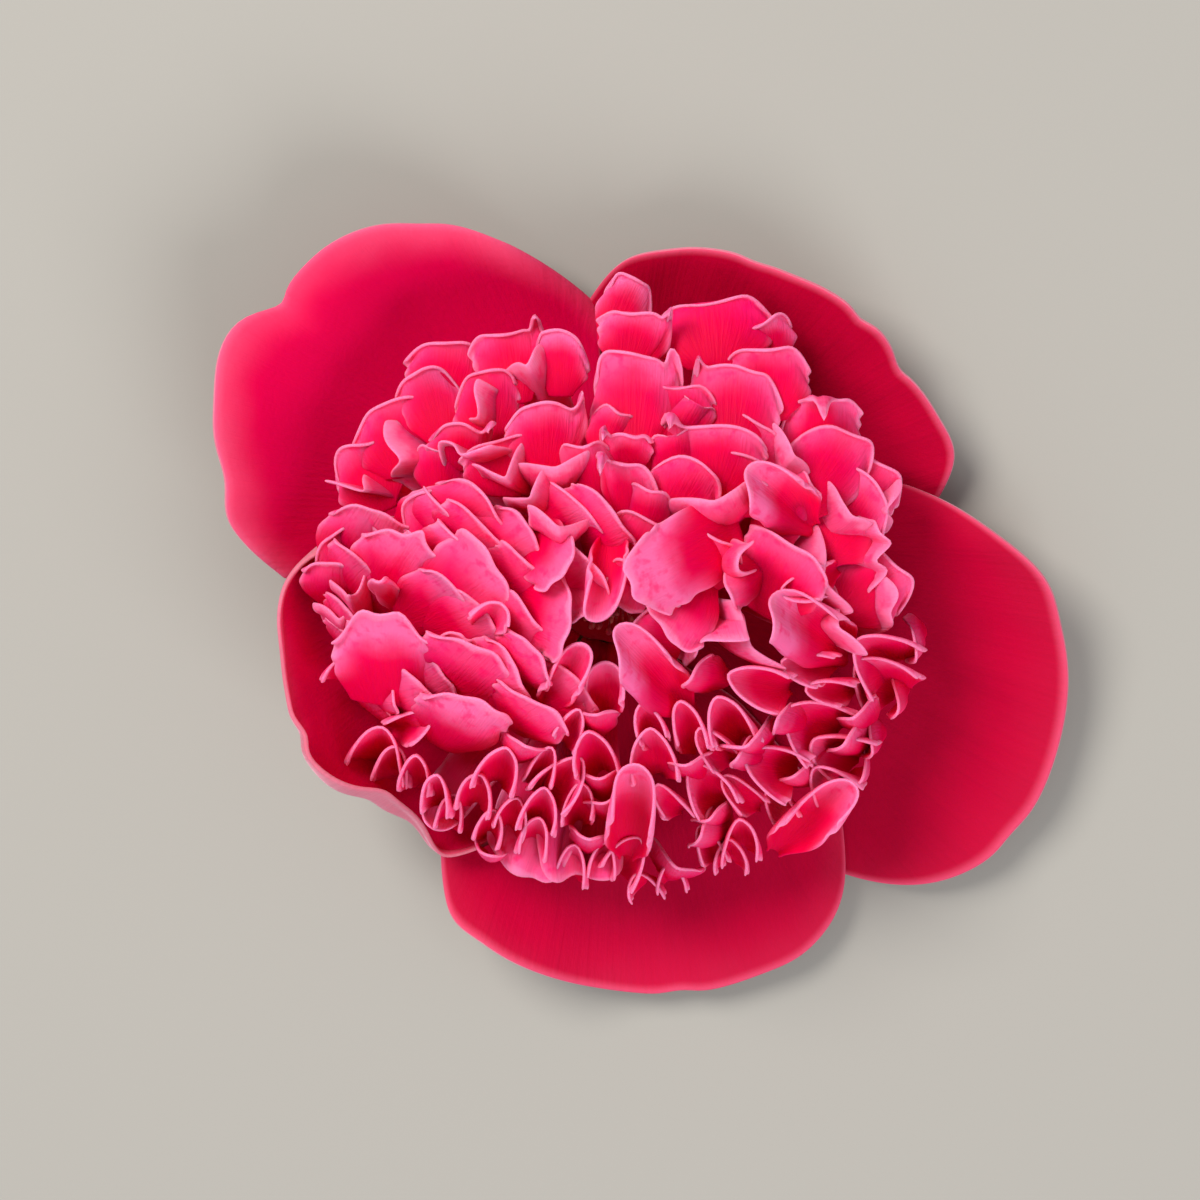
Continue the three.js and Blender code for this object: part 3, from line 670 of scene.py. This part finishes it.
def guard_surface(petal):
    def surface(u, v):
        reach = curve_through(petal["edge"], (u + 1) / 2)
        for place, depth, width in petal["nicks"]:
            reach = reach - depth * np.exp(-((u - place) / width) ** 2)
        radius = GUARD_BASE_RADIUS + (reach - GUARD_BASE_RADIUS) * v
        half = GUARD_CLAW_HALF_ANGLE + (petal["half_angle"] - GUARD_CLAW_HALF_ANGLE) * smooth(v, 0, 0.45)
        azimuth = petal["azimuth"] + half * u
        curl = beyond(v, CURL_START) ** 2
        lean_in = petal.get("tuck", 0) * beyond(v, TUCK_START) ** 2
        lean_in = lean_in * (0.6 + 0.38 * np.exp(-((u - 0.35) / 0.4) ** 2))
        climb = radius - 0.8 * np.maximum(0, radius - petal.get("crest", NO_CREST))
        height = guard_height(climb, azimuth) - petal["roll"] * curl + 0.2 * lean_in
        return polar(radius - 0.35 * petal["roll"] * curl - lean_in, azimuth, height)
    return surface


def build_guard_petal(petal, sizes, materials):
    rng = random.Random(petal["azimuth"])
    waves = [(rng.uniform(1.5, 3.2), rng.uniform(0, TURN), rng.uniform(0.5, 1.0)) for _ in range(3)]

    def ripple(u, v):
        side = np.where(u < 0, petal["low"], petal["high"])
        layer = side * GUARD_LAYER * smooth(np.abs(u), 0.15, 0.6)
        swell = sum(a * np.sin(k * u * 3 + p + 2.5 * v) for k, p, a in waves) / 3
        fine = 0.12 * np.sin(u * 23 + waves[0][1]) * np.sin(v * 9)
        free = smooth(v, 0.35, 1.0)
        return layer + petal["wave"] * swell * free + fine * free

    bm = bmesh.new()
    add_sheet(bm, *GUARD_GRID, guard_surface(petal), ripple, SHEET_CROWDING, petal["pale"])
    finish(bm, petal["node"] + "_blade", materials, [petal["node"]], sizes.petal_thickness)


# ---- calyx ----------------------------------------------------------------------------------

SCALE_CUP = 0.15
CALYX = [
    dict(node="sepal", slot="sepal", count=5, azimuth=20, half_angle=33, inner=5.8, outer=14, drop=2.35,
         slope=0.12),
    dict(node="bract", slot="bract", count=3, azimuth=60, half_angle=50, inner=3.9, outer=9.2, drop=3.5,
         slope=0.18),
]


def build_calyx(sizes, colours):
    for row in CALYX:
        material = scale_material(row["slot"], colours)
        for i in range(row["count"]):
            middle = row["azimuth"] + 360 / row["count"] * i

            def surface(u, v, row=row, middle=middle):
                reach = row["outer"] - (row["outer"] - row["inner"]) * 0.45 * np.abs(u) ** 3.2
                radius = row["inner"] + (reach - row["inner"]) * v
                azimuth = middle + row["half_angle"] * u * (1 - 0.45 * v ** 3)
                below = GUARD_BASE_RADIUS + np.maximum(0, radius - GUARD_BASE_RADIUS) / 2
                height = guard_height(below, middle) - row["drop"] - row["slope"] * (radius - row["inner"])
                return polar(radius, azimuth, height + SCALE_CUP * (u * u + v * v))

            def ripple(u, v):
                return 0.05 * np.sin(u * 11) * v

            bm = bmesh.new()
            add_sheet(bm, *CALYX_GRID, surface, ripple, SHEET_CROWDING)
            node = f"{row['node']}_{i + 1}"
            finish(bm, node + "_scale", [material], [node], sizes.scale_thickness)


# ---- stalk, cushion, pistil and stamens -----------------------------------------------------

# Radius and height of each ring, in mm
STALK_PROFILE = [(0.02, 0), (2.4, 0), (2.9, 0.25), (3, 0.9), (3.05, 1.6), (3.7, 2.2), (5.6, 3), (7.3, 4.2)]
PISTIL_PROFILE = [(0.02, 0), (1, 0), (1.1, 1.2), (0.95, 2.4), (0.55, 4), (0.42, 8), (0.4, 12), (0.2, 12.6)]
STIGMA_PROFILE = [(0.05, 0), (0.22, 0.2), (0.2, 1.2), (0.24, 1.8), (0.06, 2.0)]
FILAMENT_PROFILE = [(0.26, 0), (0.2, 0.3), (0.15, 0.7), (0.13, 1)]
ANTHER_PROFILE = [(0.34, 0.25), (0.40, 0.7), (0.32, 1.15), (0.05, 1.3)]
CUSHION_BUMPS = 0.036
CENTRE_GAP = 0.2
STIGMAS = 3
STIGMA_FOOT = 11.6
STIGMA_SPREAD = 0.35
STAMENS = 16
STAMEN_RING_RADIUS = 2.0
# Pistil and anther colours: a darker pink than their own pale cream, as painted shade of the deep well
SHADED_CENTRE_CREAMS = {
    "Style Cream": ((0.62, 0.10, 0.16, 1.0), (0.78, 0.34, 0.22, 1.0)),
    "Anther Blush": ((0.66, 0.06, 0.12, 1.0), (0.82, 0.34, 0.24, 1.0)),
}


def add_turned(bm, profile, centre_line, sides, bumps=0):
    """Adds a closed round body, as a grid that is bent round and closed at its seam and ends.

    profile gives its radius and height, and centre_line(height) its middle."""
    rows = len(profile) - 1
    for vert in bmesh.ops.create_grid(bm, x_segments=sides, y_segments=rows, size=1)["verts"]:
        angle = 2 * math.pi * (round((vert.co.x + 1) / 2 * sides) % sides) / sides
        radius, height = profile[round((vert.co.y + 1) / 2 * rows)]
        middle = centre_line(height)
        wide = radius * (1 + bumps * math.sin(9 * angle + height) * min(1, height / 8))
        vert.co = (AXIS_X + (middle[0] + wide * math.cos(angle)) * MM,
                   AXIS_Y + (middle[1] + wide * math.sin(angle)) * MM,
                   FLOOR_Z + middle[2] * MM)
    bmesh.ops.remove_doubles(bm, verts=bm.verts, dist=1e-7)
    bmesh.ops.holes_fill(bm, edges=[edge for edge in bm.edges if edge.is_boundary])
    for face in bm.faces:
        face.smooth = True
    bmesh.ops.recalc_face_normals(bm, faces=bm.faces)


def build_stalk(colours):
    dome = []
    for lean in range(0, 90, 9):
        angle = math.radians(lean)
        dome.append((CUSHION_RADIUS * math.cos(angle), CUSHION_HEIGHT + CUSHION_RADIUS * math.sin(angle)))
    bm = bmesh.new()
    add_turned(bm, [*STALK_PROFILE, *dome], lambda height: (0, 0, height), 48, CUSHION_BUMPS)
    finish(bm, "stalk_and_cushion", [stalk_material(colours)], ["receptacle_and_stalk"])


def build_pistil():
    foot = CUSHION_TOP + CENTRE_GAP
    bm = bmesh.new()
    add_turned(bm, PISTIL_PROFILE, lambda height: (0.05 * height, 0, foot + height), 16)
    for turn in range(STIGMAS):
        azimuth = math.radians(360 / STIGMAS * turn + 20)

        def line(height, azimuth=azimuth):
            out = STIGMA_SPREAD * height
            return 0.6 + out * math.cos(azimuth), out * math.sin(azimuth), foot + STIGMA_FOOT + 0.6 * height

        add_turned(bm, STIGMA_PROFILE, line, 10)
    finish(bm, "pistil_style", [plain_tissue("Style Cream")], ["pistil"])


def build_stamens(rng):
    foot = CUSHION_TOP + CENTRE_GAP
    bm = bmesh.new()
    for i in range(STAMENS):
        azimuth = 2 * math.pi * (i + rng.uniform(-0.2, 0.2)) / STAMENS
        tall = rng.uniform(7.5, 11)
        spread = rng.uniform(0.5, 1.0)

        def line(height, azimuth=azimuth, tall=tall, spread=spread):
            out = STAMEN_RING_RADIUS - 0.4 * height / tall + spread * (height / tall) ** 3
            return out * math.cos(azimuth), out * math.sin(azimuth), foot + height

        filament = [(radius, tall * share) for radius, share in FILAMENT_PROFILE]
        anther = [(radius, tall + above) for radius, above in ANTHER_PROFILE]
        add_turned(bm, filament + anther, line, 10)
    finish(bm, "stamen_ring", [plain_tissue("Anther Blush")], ["stamens"])


# ---- materials ------------------------------------------------------------------------------

SHEEN_PINK = (1.0, 0.62, 0.74, 1.0)
SUNLIT_CRIMSON = (0.78, 0.0, 0.072, 1.0)
CLAW_BUFF = (0.62, 0.40, 0.28, 1.0)
SCALE_RUSSET = (0.42, 0.30, 0.10, 1.0)
SCALE_BROWN = (0.20, 0.10, 0.04, 1.0)
STALK_OLIVE = (0.22, 0.24, 0.07, 1.0)
FLOOR_GREY = (0.33, 0.31, 0.275, 1.0)


class Tissue:
    """A material whose nodes are added one call at a time; each call returns the new output."""

    def __init__(self, name):
        self.material = bpy.data.materials.new(name)
        self.material.use_nodes = True
        self.shader = self.material.node_tree.nodes["Principled BSDF"]
        self.places = self.node("TexCoord")

    def node(self, kind, *values, **named):
        """Adds a node. Its inputs are set, or linked where the value is another node's output."""
        node = self.material.node_tree.nodes.new("ShaderNode" + kind)
        self.fill(node, dict(enumerate(values)) | named)
        return node

    def fill(self, node, values):
        for key, value in values.items():
            if isinstance(value, bpy.types.NodeSocket):
                self.material.node_tree.links.new(value, node.inputs[key])
            else:
                node.inputs[key].default_value = value

    def axes(self, space="UV"):
        """Outputs that run across the blade, from 0 to 1, and along it, or x, y and z of a space."""
        return self.node("SeparateXYZ", self.places.outputs[space]).outputs

    def math(self, operation, *values, clamp=False):
        node = self.node("Math", *values)
        node.operation = operation
        node.use_clamp = clamp
        return node.outputs[0]

    def times(self, first, second, clamp=False):
        return self.math("MULTIPLY", first, second, clamp=clamp)

    def ramp(self, value, low, high, low_out=0, high_out=1):
        node = self.node("MapRange", value, low, high, low_out, high_out)
        node.interpolation_type = "SMOOTHSTEP"
        return node.outputs["Result"]

    def mix(self, factor, first, second):
        node = self.node("Mix")
        node.data_type = "RGBA"
        self.fill(node, {"Factor": factor, "A": first, "B": second})
        return node.outputs["Result"]

    def veins(self, scale_x, scale_y, detail=3):
        """Noise that is stretched along the blade."""
        place = self.node("Mapping", self.places.outputs["UV"], Scale=(scale_x, scale_y, 1)).outputs[0]
        return self.node("TexNoise", Vector=place, Scale=1, Detail=detail).outputs["Fac"]

    def blotches(self, scale, detail=3):
        place = self.places.outputs["Object"]
        return self.node("TexNoise", Vector=place, Scale=scale, Detail=detail).outputs["Fac"]

    def side(self, across):
        """How far from the middle line a place is, from 0 to 1."""
        return self.math("ABSOLUTE", self.math("MULTIPLY_ADD", across, 2, -1))

    def tint(self):
        node = self.node("Attribute")
        node.attribute_name = "tint"
        return node.outputs["Fac"]

    def done(self, colour, roughness, sheen, subsurface, relief, strength, depth):
        """Sets what every living tissue here has, and how strong and deep, in m, its relief is."""
        self.fill(self.shader, {
            "Base Color": colour, "Roughness": roughness, "Sheen Weight": sheen, "Sheen Roughness": 0.45,
            "Sheen Tint": SHEEN_PINK, "Subsurface Weight": subsurface,
            "Subsurface Radius": (0.0035, 0.0009, 0.0011), "Subsurface Scale": 1,
            "Specular IOR Level": 0.04})
        bump = self.node("Bump", Strength=strength, Distance=depth, Height=relief)
        self.fill(self.shader, {"Normal": bump.outputs[0]})
        return self.material


def rgba(colour):
    return (*colour, 1.0)


def shade(colour, factor):
    return tuple(min(1.0, c * factor) for c in colour) + (1.0,)


def petaloid_material(colours):
    t = Tissue("Petaloid Satin")
    across, along, _ = t.axes()
    veins = t.veins(38, 3.2)
    blotch = t.blotches(420)
    side = t.side(across)
    wander = t.math("MULTIPLY_ADD", blotch, 0.16, -0.08)
    side_far = t.math("ADD", side, wander)
    top_far = t.math("ADD", along, wander)
    side_edge = t.times(t.ramp(side_far, 0.84, 0.98), t.ramp(along, 0.35, 0.8))
    edge = t.math("MAXIMUM", side_edge, t.ramp(top_far, 0.92, 0.985))
    side_blush = t.times(t.ramp(side_far, 0.35, 1), t.ramp(along, 0.3, 0.9))
    blush_and_painted_light = t.math("MAXIMUM", side_blush, t.ramp(top_far, 0.5, 0.97))
    freckles = t.ramp(t.blotches(750, 2), 0.5, 0.72, 0, 0.6)
    freckles = t.times(freckles, t.ramp(along, 0.5, 0.8))
    # Painted shade: the blade turns deep crimson towards its foot and along its middle line, where its folds
    # lie in shade
    foot = t.times(t.ramp(along, 0.3, 0.85), t.ramp(side, 0, 0.7, 0.45, 1))
    face = t.mix(foot, rgba(colours.deep), rgba(colours.rose))
    face = t.mix(t.ramp(veins, 0.35, 0.75, 0, 0.22), face, shade(colours.rose, 0.62))
    # Each blade's tint sets how strong its blush is: random, and set low as painted shade on a blade in shade
    blush_and_painted_light = t.times(blush_and_painted_light, t.tint())
    face = t.mix(t.times(blush_and_painted_light, 0.95, clamp=True), face, rgba(colours.blush_and_painted_light))
    face = t.mix(freckles, face, rgba(colours.rose))
    face = t.mix(t.times(edge, 0.85), face, rgba(colours.margin))
    return t.done(face, 0.5, 0, 0.4, veins, 0.35, 0.0004)


def guard_material(colours):
    t = Tissue("Guard Petal Velvet")
    across, along, _ = t.axes()
    veins = t.veins(90, 3, 5)
    cloud = t.blotches(55)
    grain = t.blotches(1600)
    side = t.side(across)
    rim = t.math("MAXIMUM", t.ramp(along, 0.965, 1), t.ramp(side, 0.985, 1))
    # Painted shade: the face turns darker towards the petal's foot, in the shade under the dome
    face = t.mix(t.ramp(along, 0.1, 0.75), shade(colours.deep, 0.8), rgba(colours.crimson))
    # Random darker clouds: partly the petal's own uneven tone, partly painted shade of its soft waves
    face = t.mix(t.ramp(cloud, 0.35, 0.7, 0, 0.35), face, shade(colours.crimson, 0.72))
    face = t.mix(t.ramp(veins, 0.45, 0.75, 0, 0.16), face, shade(colours.crimson, 0.6))
    # tint carries the petal's pale: how much painted light its face gets
    tint = t.tint()
    # Painted sheen: the lit petals turn paler towards their tips, where light grazes them
    sweep = t.math("ADD", t.times(cloud, 0.3), along)
    painted_sheen = t.times(t.ramp(sweep, 0.97, 1.25), tint)
    # Painted light: the petals that face the light get a lighter, sunlit crimson face
    face = t.mix(t.times(tint, 1.1, clamp=True), face, SUNLIT_CRIMSON)
    # The painted sheen is laid on in the rim colour
    face = t.mix(painted_sheen, face, rgba(colours.rim))
    face = t.mix(t.times(rim, 0.55), face, rgba(colours.rim))
    relief = t.math("ADD", veins, t.times(grain, 0.4))
    return t.done(face, 0.62, 0, 0.15, relief, 0.3, 0.0004)


def guard_back_material(colours):
    t = Tissue("Guard Petal Back")
    along = t.axes()[1]
    veins = t.veins(70, 2, 5)
    cloud = t.blotches(45)
    back = t.mix(t.ramp(cloud, 0.3, 0.7, 0, 0.35), rgba(colours.back), shade(colours.crimson, 0.9))
    back = t.mix(t.ramp(veins, 0.4, 0.75, 0, 0.4), back, shade(colours.back, 0.7))
    back = t.mix(t.ramp(along, 0.25, 0), back, CLAW_BUFF)
    return t.done(back, 0.75, 0.5, 0.1, veins, 0.4, 0.0005)


def scale_material(slot, colours):
    t = Tissue(f"Calyx {slot.title()}")
    along = t.axes()[1]
    fibres = t.veins(40, 2.5)
    blotch = t.blotches(300)
    body = t.mix(t.ramp(fibres, 0.35, 0.7, 0, 0.5), rgba(colours.green), shade(colours.green, 0.6))
    body = t.mix(t.ramp(blotch, 0.45, 0.7, 0, 0.5), body, SCALE_RUSSET)
    body = t.mix(t.ramp(along, 0.86, 1), body, SCALE_BROWN)
    return t.done(body, 0.62, 0.3, 0.05, fibres, 0.4, 0.0005)


def stalk_material(colours):
    """Green where the stalk is, crimson where the petaloids grow from the cushion, darkened there as painted
    shade.
    """
    t = Tissue("Stalk Skin")
    height = t.axes("Object")[2]
    blotch = t.blotches(500)
    skin = t.mix(t.ramp(blotch, 0.35, 0.7), rgba(colours.green), STALK_OLIVE)
    high = t.ramp(height, FLOOR_Z + 3 * MM, FLOOR_Z + 4.5 * MM)
    # Painted shade: the cushion's top takes the deep crimson, darker still, in the well under the petaloids
    skin = t.mix(high, skin, shade(colours.deep, 0.7))
    return t.done(skin, 0.6, 0.1, 0.1, blotch, 0.4, 0.0005)


def plain_tissue(name):
    t = Tissue(name)
    blotch = t.blotches(900)
    return t.done(t.mix(t.ramp(blotch, 0.35, 0.7), *SHADED_CENTRE_CREAMS[name]), 0.5, 0.1, 0.1, blotch, 0.3, 0.0004)


# ---- stage ----------------------------------------------------------------------------------

FLOOR_HALF_WIDTH = 3
FLOOR_DROP = 0.0002
AIM_HEIGHT = 0.014
# From the dome's middle to the middle of the view, right and up, in mm
VIEW_SHIFT = (-1.3, -1.1)
# Place from the dome's middle, width, power and colour of each light
LIGHTS = {
    "Window": ((-0.45, 0.55, 0.75), 0.5, 12.0, (1.0, 0.98, 0.95)),
    "Fill": ((0.4, -0.55, 0.7), 0.7, 6.0, (0.95, 0.97, 1.0)),
}
SKY_COLOUR = (0.9, 0.93, 1.0, 1.0)
SKY_STRENGTH = 0.55


def area_light(name, place, target, size, power, colour):
    data = bpy.data.lights.new(name, "AREA")
    data.shape = "DISK"
    data.size = size
    data.energy = power
    data.color = colour
    light = bpy.data.objects.new(name, data)
    bpy.context.collection.objects.link(light)
    light.location = place
    light.rotation_euler = (target - place).to_track_quat("-Z", "Y").to_euler()


def build_stage(studio):
    bm = bmesh.new()
    bmesh.ops.create_grid(bm, x_segments=4, y_segments=4, size=FLOOR_HALF_WIDTH,
                          matrix=Matrix.Translation((AXIS_X, AXIS_Y, FLOOR_Z - FLOOR_DROP)))
    mesh = bpy.data.meshes.new("floor")
    bm.to_mesh(mesh)
    bm.free()
    floor = bpy.data.objects.new("floor", mesh)
    bpy.context.collection.objects.link(floor)
    material = bpy.data.materials.new("Pale Floor")
    material.use_nodes = True
    shader = material.node_tree.nodes["Principled BSDF"]
    shader.inputs["Base Color"].default_value = FLOOR_GREY
    shader.inputs["Roughness"].default_value = 0.85
    mesh.materials.append(material)

    middle = Vector((AXIS_X, AXIS_Y, FLOOR_Z + AIM_HEIGHT))
    for name, (place, size, power, colour) in LIGHTS.items():
        area_light(name, middle + Vector(place), middle, size, power, colour)
    world = bpy.data.worlds.new("Studio")
    bpy.context.scene.world = world
    world.use_nodes = True
    sky = world.node_tree.nodes["Background"]
    sky.inputs[0].default_value = SKY_COLOUR
    sky.inputs[1].default_value = SKY_STRENGTH

    view = Vector((math.sin(studio.swing), math.sin(studio.tilt), 1.0))
    view.z = math.sqrt(max(0.0, 1 - view.x ** 2 - view.y ** 2))
    right = Vector((0, 1, 0)).cross(view).normalized()
    up = view.cross(right)
    target = middle + right * VIEW_SHIFT[0] * MM + up * VIEW_SHIFT[1] * MM
    camera = bpy.data.objects.new("camera", bpy.data.cameras.new("camera"))
    bpy.context.collection.objects.link(camera)
    camera.location = target + view * studio.distance
    camera.rotation_mode = "QUATERNION"
    camera.rotation_quaternion = Matrix((right, up, view)).transposed().to_quaternion()
    camera.data.lens = camera.data.sensor_width * studio.distance / studio.frame_width
    bpy.context.scene.camera = camera
    bpy.context.scene.view_settings.view_transform = "Standard"


# ---- operators ------------------------------------------------------------------------------

class CAMELLIA_OT_petaloids(bpy.types.Operator):
    """Builds the dome of petaloids, one object for each fascicle"""
    bl_idname = "camellia.petaloids"
    bl_label = "Petaloids"

    def execute(self, context):
        build_petaloids(context.scene.camellia_sizes, context.scene.camellia_colours)
        return {"FINISHED"}


class CAMELLIA_OT_guard_petals(bpy.types.Operator):
    """Builds the five broad guard petals"""
    bl_idname = "camellia.guard_petals"
    bl_label = "Guard Petals"

    def execute(self, context):
        colours = context.scene.camellia_colours
        materials = [guard_back_material(colours), guard_material(colours)]
        for petal in GUARD_PETALS:
            build_guard_petal(petal, context.scene.camellia_sizes, materials)
        return {"FINISHED"}


class CAMELLIA_OT_calyx(bpy.types.Operator):
    """Builds the sepals, the bracts and the stalk with its cushion"""
    bl_idname = "camellia.calyx"
    bl_label = "Calyx and Stalk"

    def execute(self, context):
        build_calyx(context.scene.camellia_sizes, context.scene.camellia_colours)
        build_stalk(context.scene.camellia_colours)
        return {"FINISHED"}


class CAMELLIA_OT_centre(bpy.types.Operator):
    """Builds the pistil and the stamens in the well"""
    bl_idname = "camellia.centre"
    bl_label = "Pistil and Stamens"

    def execute(self, context):
        build_pistil()
        build_stamens(random.Random(context.scene.camellia_sizes.seed))
        return {"FINISHED"}


class CAMELLIA_OT_stage(bpy.types.Operator):
    """Adds the pale floor, the soft lights and the camera"""
    bl_idname = "camellia.stage"
    bl_label = "Stage"

    def execute(self, context):
        build_stage(context.scene.camellia_studio)
        return {"FINISHED"}


class CAMELLIA_PT_panel(bpy.types.Panel):
    """Lists the flower's pieces"""
    bl_label = "Camellia"
    bl_idname = "CAMELLIA_PT_panel"
    bl_space_type = "VIEW_3D"
    bl_region_type = "UI"
    bl_category = "Camellia"

    def draw(self, context):
        for group in ("camellia_sizes", "camellia_colours", "camellia_studio"):
            settings = getattr(context.scene, group)
            for name in settings.__annotations__:
                self.layout.prop(settings, name)
        for operator in OPERATORS:
            self.layout.operator(operator.bl_idname)


OPERATORS = (CAMELLIA_OT_stage, CAMELLIA_OT_guard_petals, CAMELLIA_OT_petaloids, CAMELLIA_OT_calyx,
             CAMELLIA_OT_centre)
CLASSES = (CamelliaSizes, CamelliaColours, CamelliaStudio, *OPERATORS, CAMELLIA_PT_panel)


def register():
    for cls in CLASSES:
        bpy.utils.register_class(cls)
    bpy.types.Scene.camellia_sizes = bpy.props.PointerProperty(type=CamelliaSizes)
    bpy.types.Scene.camellia_colours = bpy.props.PointerProperty(type=CamelliaColours)
    bpy.types.Scene.camellia_studio = bpy.props.PointerProperty(type=CamelliaStudio)


def unregister():
    del bpy.types.Scene.camellia_studio
    del bpy.types.Scene.camellia_colours
    del bpy.types.Scene.camellia_sizes
    for cls in reversed(CLASSES):
        bpy.utils.unregister_class(cls)


def main():
    register()
    bpy.ops.camellia.stage()
    bpy.ops.camellia.guard_petals()
    bpy.ops.camellia.petaloids()
    bpy.ops.camellia.calyx()
    bpy.ops.camellia.centre()


if __name__ == "__main__":
    main()
